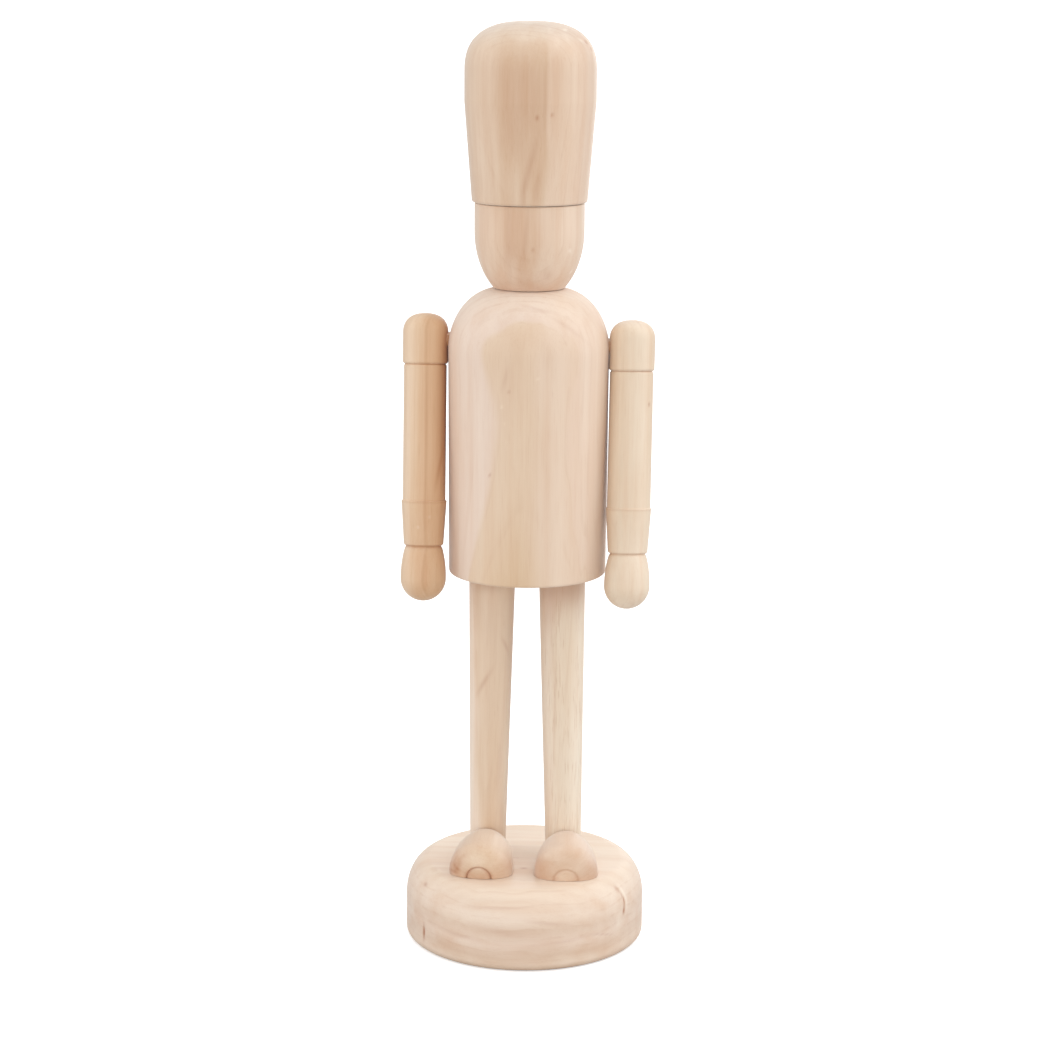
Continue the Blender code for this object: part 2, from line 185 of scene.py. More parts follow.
def fan_faces(ring, pole, upward):
    """Triangles from a ring of vertices to one pole."""
    beside = np.roll(ring, -1)
    centre = np.full_like(ring, pole)
    return np.stack([ring, beside, centre] if upward else [beside, ring, centre], axis=-1)


def wooden_piece(name, points, face_sets, tint):
    """A mesh from points in millimetres and arrays of faces. Its attribute mark holds the tint of the stains, pale
    marks and painted shade.
    """
    mesh = bpy.data.meshes.new(name)
    corners = np.concatenate([faces.ravel() for faces in face_sets]).astype(np.int32)
    sizes = np.concatenate([np.full(len(faces), faces.shape[1]) for faces in face_sets])
    mesh.vertices.add(len(points))
    mesh.vertices.foreach_set("co", (np.asarray(points) * MM).astype(np.float32).ravel())
    mesh.loops.add(len(corners))
    mesh.loops.foreach_set("vertex_index", corners)
    mesh.polygons.add(len(sizes))
    mesh.polygons.foreach_set("loop_start", np.r_[0, np.cumsum(sizes)[:-1]].astype(np.int32))
    mesh.update(calc_edges=True)
    mesh.shade_smooth()
    mesh.attributes.new("mark", "FLOAT", "POINT").data.foreach_set("value", np.asarray(tint, np.float32))
    obj = bpy.data.objects.new(name, mesh)
    bpy.context.scene.collection.objects.link(obj)
    return obj


def turned(name, outline, columns, put, seed, depth, marks=(), softness=CORNER_SOFTNESS):
    """A surface of revolution. Row i and column j lie at (r sin b, -r cos b, h), with (r, h) the sanded outline's
    point i and b the bearing 2 pi j / columns, moved inwards along the outline's normal by the unevenness and
    the dents. One vertex closes each end, and put carries the points into the frame."""
    rows = sanded(outline, softness)
    radius, height = rows[1:-1].T[:, :, None]
    along = np.r_[0, np.cumsum(np.hypot(*np.diff(rows, axis=0).T))]
    slope = np.gradient(rows, axis=0)[1:-1]
    slope /= np.hypot(*slope.T)[:, None]
    bearing = bearings(columns)
    walked = along[1:-1, None]
    dent, tint = blemishes_and_shade(marks, bearing, walked, radius, lambda at: np.interp(at, rows[:, 1], along))
    inward = (uneven(seed, bearing, walked, depth) + dent) * np.clip(radius / AXIS_FADE, 0, 1)
    radius = radius - inward * slope[:, 1, None]
    height = height + inward * slope[:, 0, None]
    points = np.stack([radius * np.sin(bearing), -radius * np.cos(bearing), height], axis=-1).reshape(-1, 3)
    count = len(rows) - 2
    low, high = len(points), len(points) + 1
    points = np.concatenate([points, [(0, 0, rows[0, 1]), (0, 0, rows[-1, 1])]])
    ring = np.arange(columns)
    faces = [
        grid_faces(count, columns),
        fan_faces(ring, low, False),
        fan_faces(ring + (count - 1) * columns, high, True),
    ]
    return wooden_piece(name, put(points), faces, np.r_[tint.ravel(), 0, 0])


def upright(bottom):
    """Carries a piece onto the figure's axis, its own height 0 at the given height."""
    return lambda points: points + (0, FIGURE_SETBACK, bottom)


def bottom_of(node):
    """The height of a CAD node's lowest point, in millimetres."""
    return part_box(node)[0].z / MM


def arm_centre(name):
    """The place of an arm's hinge, in millimetres."""
    return np.array(next(joint["pos_m"] for joint in frame["joints"] if joint["child"] == name)) / MM


# Pieces


def make_hat():
    """A turning that widens straight from its brim, whose edge is a quarter round, and closes in a crown whose
    outline is a quarter superellipse."""
    brim, widest, widest_from = 18.5, 20.95, 31.5
    outline = np.concatenate([
        [(0, -HEAD_SEATED)],
        round_over(brim, 0.7, 0.9, -0.9)[::-1],
        [(widest, widest_from)],
        swell(widest, 40.5, 0, 16.0, 2.6),
    ])
    # Chips on the crown, two pin holes, then broad and narrow stains along the grain
    marks = [
        (71.7, 50.1, 0.7, 0.5, 30, 0.25, 0.45),
        (76.0, 48.0, 0.5, 0.6, 0, 0.15, 0.35),
        (64.0, 50.8, 1.2, 0.5, 20, 0.12, -0.3),
        (52.7, 54.0, 1.0, 0.45, -20, 0.12, -0.5),
        (9.3, 27.3, 0.35, 0.6, 0, 0.08, 0.45),
        (22.4, 28.2, 0.35, 0.5, 0, 0.08, 0.40),
        (-18.0, 37.0, 2.0, 7.0, 0, 0, 0.08),
        (-6.0, 36.0, 2.5, 7.5, 0, 0, 0.08),
        (8.0, 34.0, 2.2, 8.0, 0, 0, 0.10),
        (-18.0, 22.0, 2.4, 6.0, 0, 0, 0.07),
        (-4.0, 48.5, 8.0, 3.2, 0, 0, -0.14),
        (-15.0, 7.0, 3.2, 5.0, 0, 0, -0.10),
        (-8.0, 21.0, 2.2, 8.0, 0, 0, 0.05),
        (4.0, 13.0, 0.8, 6.5, 14, 0, 0.20),
        (-2.5, 4.5, 0.7, 3.6, 6, 0, 0.18),
        (10.5, 6.0, 0.7, 4.5, 6, 0, 0.14),
        (16.0, 33.0, 0.40, 7.0, 0, 0, 0.15),
    ]
    return turned("turned_hat", outline, 260, upright(bottom_of("hat")), seed=11, depth=0.08, marks=marks)


def make_head():
    """A turning that swells from the chin along part of an ellipse and goes straight up to an eased edge."""
    chin, widest, top = 11.4, 17.6, 27.0
    outline = np.concatenate([
        [(0, -HEAD_SEATED)],
        swell(widest, 17.8, chin, -18.0)[::-1],
        round_over(widest, 26.5, 0.5, 0.5),
        [(0, top)],
    ])
    # Small nicks, a shaded chin, then stripes along the grain
    marks = [
        (7.2, 13.6, 0.32, 0.5, 0, 0.06, 0.3),
        (51.9, 12.8, 0.6, 0.4, 30, 0.08, -0.45),
        (65.7, 5.7, 0.7, 0.4, -30, 0.08, -0.45),
        (24.3, 5.4, 1.4, 1.6, -20, 0.02, 0.16),
        (0.0, 1.5, 14.0, 2.8, 0, 0, 0.17),
        (-19.0, 18.0, 0.9, 8.0, 2, 0, 0.13),
        (-11.0, 17.0, 1.6, 8.0, 3, 0, 0.09),
        (0.0, 18.5, 0.6, 6.5, 5, 0, 0.17),
    ]
    return turned("turned_head", outline, 220, upright(bottom_of("head")), seed=12, depth=0.07, marks=marks)


def make_body():
    """A turning that widens a little from an eased hem, with shoulders that are a quarter ellipse up to a flat
    under the head."""
    hem, chest, top = 25.65, 25.95, 92.9
    outline = np.concatenate([
        [(0, 0)],
        round_over(hem, 0.8, 0.8, -0.8)[::-1],
        round_over(chest, 72.9, 16.15, 20.0),
        [(0, top)],
    ])
    # Pin marks, streaks, broad tints, streaks over the shoulders, and painted shade down the sides beside the arms
    marks = [
        (-15.3, 58.2, 0.24, 0.28, 12, 0.05, -0.35),
        (-13.1, 52.9, 0.22, 0.26, 10, 0.04, -0.15),
        (-11.5, 47.2, 0.22, 0.26, 10, 0.04, -0.10),
        (10.1, 67.4, 0.24, 0.28, 0, 0.05, -0.30),
        (-10.2, 63.1, 0.28, 0.40, 0, 0.05, 0.30),
        (-24.4, 36.1, 0.28, 0.5, 20, 0.05, 0.4),
        (-13.2, 66.8, 0.5, 2.6, 14, 0.03, 0.12),
        (-12.0, 62.0, 1.4, 8.0, 5, 0, 0.06),
        (-2.0, 79.0, 5.5, 3.2, 0, 0, 0.05),
        (-2.0, 68.0, 4.5, 9.0, 0, 0, 0.05),
        (-24.0, 72.0, 6.0, 7.0, 0, 0, 0.05),
        (12.0, 88.5, 0.5, 4.5, -72, 0, 0.13),
        (34.0, 83.0, 0.5, 5.0, -52, 0, 0.12),
        (89.0, 44.0, 1.4, 22.0, 0, 0, 0.58),
        (-93.0, 62.0, 1.5, 12.0, 0, 0, 0.24),
    ]
    return turned("turned_body", outline, 300, upright(bottom_of("body")), seed=13, depth=0.04, marks=marks)


def make_leg(name, side):
    """A tapered round whose axis leans from the ankle to the hip: x grows by lean for each millimetre of height."""
    length, thin, thick, edge = 96.9, 5.9, 7.65, 0.4
    outline = [(0, 0), (thin - edge, 0), (thin, edge), (thick, length - edge), (thick - edge, length), (0, length)]
    ankle, hip = side * ANKLE_ASIDE, side * HIP_ASIDE
    lean = (hip - ankle) / length
    bottom = bottom_of(name) - SEATED

    def put(points):
        x, y, h = points.T
        return np.stack([x + (ankle + lean * h), y + FIGURE_SETBACK, h + bottom], axis=1)

    marks = {
        "right_leg": [
            (-14.0, 60.6, 0.55, 3.4, 30, 0.02, 0.24),
            (45.0, 73.0, 0.45, 2.2, -29, 0.02, 0.18),
            (-8.0, 93.5, 3.2, 1.3, 0, 0, 0.12),
            (38.0, 34.0, 0.9, 10.0, 2, 0, 0.12),
            (52.0, 14.0, 1.2, 9.0, 0, 0, 0.12),
            (62.0, 70.0, 1.8, 20.0, 0, 0, 0.13),
        ],
        "left_leg": [
            (-20.0, 50.0, 0.3, 11.0, 2, 0.02, 0.16),
            (-34.0, 84.0, 2.6, 5.0, 0, 0, 0.18),
            (-28.0, 66.0, 1.0, 9.0, 1, 0, 0.06),
            # Painted shade under the hem on this leg's front, with some brown stain in it
            (10.0, 92.0, 8.0, 4.2, 0, 0, 0.38),
        ],
    }[name]
    # Painted shade all round the top of the leg, under the body's hem
    marks.append((0.0, 95.5, ALL_ROUND, 2.4, 0, 0, 0.10))
    return turned(f"turned_{name}", outline, 120, put, seed=14 + side, depth=0.05, marks=marks)


def make_arm(name):
    """Shoulder cap, sleeve, cuff and fist in one turning, with heights from the shoulder. The arm leans inwards below
    the shoulder, x' = x + l h with l the tangent of its lean, and tips forward by its swing s about the shoulder:
    y' = y cos s + h sin s and z' = h cos s - y sin s."""
    fist, fist_at, cuff, cuff_top, cap = 7.4, -77.1, 7.35, -51.9, 7.35
    sleeve = SLEEVE[name]
    outline = np.concatenate([
        swell(fist, fist_at, 0, -7.5)[::-1],
        swell(fist, fist_at, 6.1, 9.8)[1:],
        [(5.7, -66.7), (6.45, -66.1), (cuff, cuff_top), (sleeve, cuff_top), (sleeve, -8.3)],
        [(6.55, -7.8), (6.9, -7.8), (cap, -7.3)],
        swell(cap, 2.0, 0, 6.5, 2.4),
    ])
    shoulder = arm_centre(name)
    shoulder[0] -= math.copysign(ARM_SNUG, shoulder[0])
    lean = math.copysign(math.tan(ARM_LEAN[name]), shoulder[0])
    cos, sin = math.cos(ARM_SWING), math.sin(ARM_SWING)

    def put(points):
        x, y, h = points.T
        return np.stack([x + lean * np.minimum(h, 0), y * cos + h * sin, h * cos - y * sin], axis=1) + shoulder

    marks = {
        "right_arm": [
            (11.0, -25.0, 0.30, 9.0, 0, 0.03, 0.10),
            (49.0, -41.5, 0.55, 4.5, 14, 0.03, 0.25),
            (-9.8, -60.3, 0.35, 0.3, 20, 0.05, -0.25),
            (20.0, -57.0, 0.3, 0.25, 0, 0.05, -0.2),
            # Painted shade down the inner side that faces the body, on the sleeve and on the cap
            (97.0, -26.0, 3.3, 16.0, 0, 0, 0.80),
            (97.0, -2.0, 3.0, 6.0, 0, 0, 0.75),
            (0.0, -68.0, ALL_ROUND, 9.0, 0, 0, 0.03),
            (-75.0, -30.0, 3.0, 25.0, 0, 0, -0.12),
        ],
        "left_arm": [
            (56.7, -18.4, 0.35, 0.5, 0, 0.06, 0.5),
            # Painted shade down the inner side that faces the body, on the sleeve and on the cap
            (-99.0, -26.0, 1.5, 16.0, 0, 0, 0.50),
            (-99.0, -1.0, 1.6, 6.0, 0, 0, 0.55),
            (0.0, -71.0, ALL_ROUND, 10.0, 0, 0, -0.12),
        ],
    }[name]
    # Painted shade all round in the cap groove, the wrist groove and at the cuff's step
    for groove, length, tint in ((-7.9, 0.22, 0.30), (-66.5, 0.35, 0.40), (-52.3, 0.25, 0.14)):
        marks.append((0.0, groove, ALL_ROUND, length, 0, 0, tint))
    return turned(f"turned_{name}", outline, 130, put, seed=21 + len(name), depth=0.03, marks=marks, softness=0.10)


def make_foot(name, side, groove, marks):
    """A turned egg laid heel up and sawn flat. With s along its axis from the toe, w its radius there, t the
    angle round it and k the tilt, a point lies at x = -w cos t, y = s cos k - w sin t sin k - length and
    z = s sin k + w sin t cos k. Angles run from the sole on one side over the top to the sole on the other, and
    rows beyond a fixed one are drawn in so that the last lies on the heel's plane y = 0. A groove rings the nub on
    the toe, and the deeper it is the darker it is painted, as shade in the groove. Each mark is a bell
    over t and s."""
    length, radius, tilt = 20.6, 10.4, math.radians(8.6)
    rounding, toe_radius, heel_radius, ring_radius = 5.8, 4.4, 6.7, 3.95
    fixed = 12.0
    egg = (length + radius * math.sin(tilt)) / math.cos(tilt)
    outline = np.concatenate([
        [(0.09, -0.40), (2.2, -0.34), (3.3, -0.18), (3.7, 0.05), (ring_radius, groove), (4.25, 0.05)],
        swell(radius, rounding, toe_radius, -rounding)[::-1],
        swell(radius, rounding, heel_radius, egg - rounding)[1:],
    ])
    rows = sanded(outline, softness=0.10, step=0.45)
    drawn_radius, drawn = rows.T[:, :, None]
    across = np.linspace(0, 1, 97)[None, :]
    share = np.clip((drawn - fixed) / (drawn.max() - fixed), 0, 1)
    tail = rows[:, 1] > fixed - 1
    s, w = drawn + 0 * across, drawn_radius + 0 * across
    # Sole and heel each depend on where the other cuts the egg, so they are found in a few rounds
    for _ in range(8):
        sole = np.arcsin(np.clip(-s * math.tan(tilt) / w, -1, 1))
        angle = sole[:, :1] + across * (math.pi - 2 * sole[:, :1])
        heel = (length + w[-1:] * np.sin(angle[-1:]) * math.sin(tilt)) / math.cos(tilt)
        s = np.where(drawn > fixed, fixed + share * (heel - fixed), drawn)
        w = np.where(drawn > fixed, np.interp(s, rows[tail, 1], rows[tail, 0]), drawn_radius)
    rise = w * np.sin(angle)
    grid = np.stack([
        -w * np.cos(angle),
        s * math.cos(tilt) - rise * math.sin(tilt) - length,
        np.maximum(s * math.sin(tilt) + rise * math.cos(tilt), 0),
    ], axis=-1)
    grid[-1, :, 1] = 0
    grid[:, [0, -1], 2] = 0
    count, columns = grid.shape[:2]
    index = np.arange(count * columns).reshape(count, columns)
    toe, back = count * columns, count * columns + 1
    ends = [grid[0].mean(axis=0), grid[-1].mean(axis=0)]
    points = np.concatenate([grid.reshape(-1, 3), ends])
    faces = [
        np.stack([index[:-1, :-1], index[:-1, 1:], index[1:, 1:], index[1:, :-1]], axis=-1).reshape(-1, 4),
        np.stack([index[:-1, -1], index[:-1, 0], index[1:, 0], index[1:, -1]], axis=-1),
        fan_faces(index[0], toe, False),
        fan_faces(index[-1], back, True),
    ]
    # Painted shade in the groove round the nub, darker where the groove is deeper
    ring_width = 0.18 + 0.3 * np.abs(np.cos(angle))
    ring = np.exp(-0.5 * ((drawn_radius - ring_radius) / ring_width) ** 2) * (drawn < 1.0)
    tint = ring * (0.06 + 0.8 * groove)
    for at, out, wide, long, shade in marks:
        tint += shade * np.exp(-0.5 * (((np.degrees(angle) - at) / wide) ** 2 + ((s - out) / long) ** 2))
    turn = side * FOOT_TURN_OUT
    cos, sin = math.cos(turn), math.sin(turn)
    x, y, z = points.T
    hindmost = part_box(name)[1].y / MM
    points = np.stack([x * cos - y * sin, x * sin + y * cos, z], axis=1)
    points = points + (FEET_SHIFT + side * FOOT_ASIDE, hindmost, bottom_of(name) - SEATED)
    points[:, 1] += min(0, hindmost - points[:, 1].max())
    foot = wooden_piece(f"turned_{name}", points, faces, np.r_[tint.ravel(), 0, 0])
    foot.data.set_sharp_from_angle(angle=math.radians(50))
    return foot


# How deep the groove round each foot's turning nub is, and the foot's marks: (degrees over the foot from its -X
# side, distance from the toe, degrees wide, length, tint). The broad marks near 0 and 180 degrees darken the
# lower sides of the feet as painted shade.
TOES = {
    "left": (0.10, [
        (8, 4.6, 24, 4.6, 0.24), (90, 1.2, 60, 1.8, 0.12), (172, 4.6, 24, 4.6, 0.24), (90, -0.4, 90, 0.25, -0.10),
    ]),
    "right": (0.42, [
        (14, 3.4, 26, 3.0, 0.28), (9, 1.7, 4, 0.5, 0.34), (19, 1.4, 3, 0.4, 0.34), (7, 3.0, 3, 0.5, 0.30),
        (30, 1.5, 8, 0.3, 0.22), (48, 2.2, 12, 0.35, 0.16), (30, 3.2, 10, 0.3, 0.16), (166, 3.6, 22, 4.0, 0.22),
        (12, 4.6, 5, 0.4, 0.26), (22, 2.4, 4, 0.3, 0.28), (3, 4.2, 3, 0.8, 0.26), (90, -0.4, 90, 0.25, 0.14),
    ]),
}


def make_base():
    """A turned disc with quarter ellipses at both edges. Its underside is two half discs: straight lines run from
    each screw's countersunk hole to the rim's ring on one side and to the line between the halves on the other."""
    widest, lower_edge = 39.5, 2.8
    outline = np.concatenate([
        [(36.2, 0)],
        round_over(widest, lower_edge, lower_edge, -lower_edge)[::-1],
        round_over(widest, 14.0, 8.0, 12.0),
        [(0, BASE_TOP)],
    ])
    marks = [
        (-52.9, 7.0, 0.34, 1.6, 0, 0.24, 1.1),
        (57.4, 22.4, 0.50, 0.9, -20, 0.06, 0.40),
        (59.3, 20.4, 0.20, 1.5, -16, 0.10, 0.42),
        (60.0, 17.4, 0.26, 1.7, 9, 0.18, 0.75),
        (58.9, 14.9, 0.34, 0.7, 12, 0.14, 0.80),
        (61.3, 20.6, 0.50, 1.8, -14, 0.03, -0.60),
        (61.8, 16.8, 0.42, 1.5, 9, 0.03, -0.40),
        (55.0, 11.0, 1.0, 2.8, 6, 0.02, -0.25),
        (44.0, 9.8, 3.2, 0.2, 14, 0.02, 0.24),
        (-57.0, 22.3, 0.8, 0.5, 0, 0.05, 0.4),
        (-10.0, 21.0, 7.0, 0.35, -4, 0, 0.16),
        (14.0, 16.6, 4.5, 0.45, 8, 0, 0.16),
        (-8.0, 13.5, 6.0, 0.8, 6, 0, 0.10),
        (22.0, 10.0, 8.0, 0.4, -3, 0, 0.12),
        (-30.0, 10.5, 6.0, 0.5, 5, 0, 0.12),
    ]
    # On the top face: (x, y, width, depth, tint). The broad darker ones beside the feet and between and behind the
    # legs are painted shade; (0, -30) darkens the front of the top, and (26, -6) makes its right side paler.
    top_marks = [
        (0.5, -12.5, 0.9, 0.5, 0.5), (-27.0, -10.0, 4.5, 1.3, 0.10), (-22.0, -4.0, 5.0, 1.0, 0.08),
        (-3.0, 9.0, 6.0, 1.1, 0.14), (6.0, 14.0, 9.0, 1.0, 0.10), (-1.0, -2.0, 4.0, 0.8, 0.08),
        (25.0, 2.0, 6.0, 0.9, 0.06), (0.0, -30.0, 18.0, 4.0, 0.05), (26.0, -6.0, 8.0, 10.0, -0.14),
    ]
    top_from, columns, seed, depth = 20, 400, 17, 0.10
    rows = sanded(outline)
    radius, height = rows[:-1].T[:, :, None]
    along = np.r_[0, np.cumsum(np.hypot(*np.diff(rows, axis=0).T))]
    slope = np.gradient(rows, axis=0)[:-1]
    slope /= np.hypot(*slope.T)[:, None]
    bearing = bearings(columns)
    walked = along[:-1, None]
    dent, tint = blemishes_and_shade(marks, bearing, walked, radius, lambda at: np.interp(at, rows[:, 1], along))
    for x, y, wide, deep, shade in top_marks:
        aside, back = radius * np.sin(bearing) - x, -radius * np.cos(bearing) - y
        tint = tint + shade * np.exp(-0.5 * ((aside / wide) ** 2 + (back / deep) ** 2)) * (height > top_from)
    inward = (uneven(seed, bearing, walked, depth) + dent) * np.clip(radius / AXIS_FADE, 0, 1)
    inward = inward * np.clip(walked / RIM_FADE, 0, 1)
    radius = radius - inward * slope[:, 1, None]
    height = height + inward * slope[:, 0, None]
    shell = np.stack([radius * np.sin(bearing), -radius * np.cos(bearing), height], axis=-1)
    count = len(rows) - 1
    points = [shell.reshape(-1, 3), np.array([[0, 0, BASE_TOP]])]
    ring = np.arange(columns)
    faces = [grid_faces(count, columns), fan_faces(ring + (count - 1) * columns, count * columns, True)]
    rim = shell[0]
    half = columns // 2
    split = np.linspace(1, -1, 101)[1:-1, None] * np.array([[0, rim[half, 1], 0]])
    edges = [
        (ANKLE_ASIDE, np.concatenate([rim[: half + 1], split])),
        (-ANKLE_ASIDE, np.concatenate([rim[half:], rim[:1], split[::-1]])),
    ]
    # A countersunk hole as (radius, height), from its mouth in the underside to its closed end
    mouth, closed = 4.2, 4.5
    bore = np.array([(4.15, 0.05), (mouth, 0.5), (mouth, 1.0), (3.3, 1.95), (2.3, 2.9), (2.3, closed)])
    offset = count * columns + 1
    for screw, edge in edges:
        centre = np.array([screw, FIGURE_SETBACK, 0])
        way = edge - centre
        way /= np.linalg.norm(way, axis=1)[:, None]
        shares = np.linspace(0, 1, 30)[:, None, None] ** 0.8
        flat = edge + shares * (centre + mouth * way - edge)
        wall = centre + bore[:, 0, None, None] * way + bore[:, 1, None, None] * np.array([0, 0, 1])
        patch = np.concatenate([flat, wall])
        points += [patch.reshape(-1, 3), (centre + (0, 0, closed))[None]]
        turns, around = patch.shape[:2]
        faces += [
            grid_faces(turns, around)[:, ::-1] + offset,
            fan_faces(np.arange(around) + (turns - 1) * around, turns * around, False) + offset,
        ]
        offset += turns * around + 1
    points = np.concatenate(points)
    tint = np.r_[tint.ravel(), np.zeros(len(points) - tint.size)]
    return weld(points, faces, tint)


def weld(points, face_sets, tint):
    """Joins points that lie within a thousandth of a millimetre, and drops faces that this folds to a line."""
    key = np.round(points, 3) + 0.0
    _, first, joined = np.unique(key, axis=0, return_index=True, return_inverse=True)
    joined = joined.ravel()
    sets = []
    for faces in face_sets:
        faces = joined[faces]
        sets.append(faces[(faces != np.roll(faces, 1, axis=1)).all(axis=1)])
    return wooden_piece("turned_base", points[first], sets, np.asarray(tint)[first])


# Materials


class Field:
    """A value on its way through a material. Arithmetic on it adds Math nodes, and add() adds any other node."""

    def __init__(self, tree, socket=None):
        self.tree, self.socket = tree, socket

    def add(self, kind, settings=None, sockets=None, out=0):
        """A node of a kind: its settings first, a ramp's stops among them, then values or links of its sockets."""
        node = self.tree.nodes.new("ShaderNode" + kind)
        for name, value in (settings or {}).items():
            if name == "stops":
                elements = node.color_ramp.elements
                elements.remove(elements[1])
                elements[0].position, elements[0].color = value[0]
                for at, colour in value[1:]:
                    elements.new(at).color = colour
            else:
                setattr(node, name, value)
        for name, value in (sockets or {}).items():
            if isinstance(value, Field):
                self.tree.links.new(value.socket, node.inputs[name])
            else:
                node.inputs[name].default_value = value
        return Field(self.tree, node.outputs[out])

    def math(self, operation, first, second=0.0):
        """One Math node."""
        return self.add("Math", {"operation": operation}, {0: first, 1: second})

    def __add__(self, other):
        return self.math("ADD", self, other)

    def __sub__(self, other):
        return self.math("SUBTRACT", self, other)

    def __rsub__(self, other):
        return self.math("SUBTRACT", other, self)

    def __mul__(self, other):
        return self.math("MULTIPLY", self, other)

    def __truediv__(self, other):
        return self.math("DIVIDE", self, other)

    def __pow__(self, other):
        return self.math("POWER", self, other)

    __radd__ = __add__
    __rmul__ = __mul__

    def step(self, low, high):
        """0 below low and 1 above high, eased between; the other way round where low is above high."""
        return self.add("MapRange", {"interpolation_type": "SMOOTHSTEP"}, {0: self, 1: low, 2: high})

    def stretch(self, across, along):
        """A vector's parts scaled across and along the grain."""
        return self.add("VectorMath", {"operation": "MULTIPLY"}, {0: self, 1: (across, across, along)})

    def noise(self, across, along, detail=2.0, rough=0.5, out=0):
        """Noise of one period per 1/across millimetres across the grain and 1/along millimetres along it."""
        sockets = {"Vector": self.stretch(across, along), "Scale": 1.0, "Detail": detail, "Roughness": rough}
        return self.add("TexNoise", None, sockets, out)

    def parts(self):
        """A vector's x, y and z."""
        outputs = self.add("SeparateXYZ", None, {0: self}).socket.node.outputs
        return [Field(self.tree, socket) for socket in outputs]

    def blend(self, first, second, mode="MIX"):
        """Two colours mixed by this value."""
        return self.add("Mix", {"data_type": "RGBA", "blend_type": mode}, {0: self, 6: first, 7: second}, 2)


def tone(red, green, blue):
    """A colour as the eye sees it, 0 to 255, as linear light through the sRGB curve."""
    seen = np.array([red, green, blue]) / 255
    return (*np.where(seen <= 0.04045, seen / 12.92, ((seen + 0.055) / 1.055) ** 2.4).tolist(), 1.0)


# Colours laid over the wood, and below them the tints that it is multiplied with
LATEWOOD = tone(190, 144, 106)
# This brown colours real stains and also the painted shade in grooves, under the hem and beside the arms
STAIN_AND_SHADE = tone(162, 86, 34)
NICK = tone(250, 238, 222)
PALE_FIBRE = tone(252, 236, 216)
CLOUD_TINT = tone(240, 222, 206)
STREAK_TINT = tone(236, 208, 180)
THREAD_TINT = tone(230, 198, 166)
FIBRE_TINT = tone(214, 172, 130)


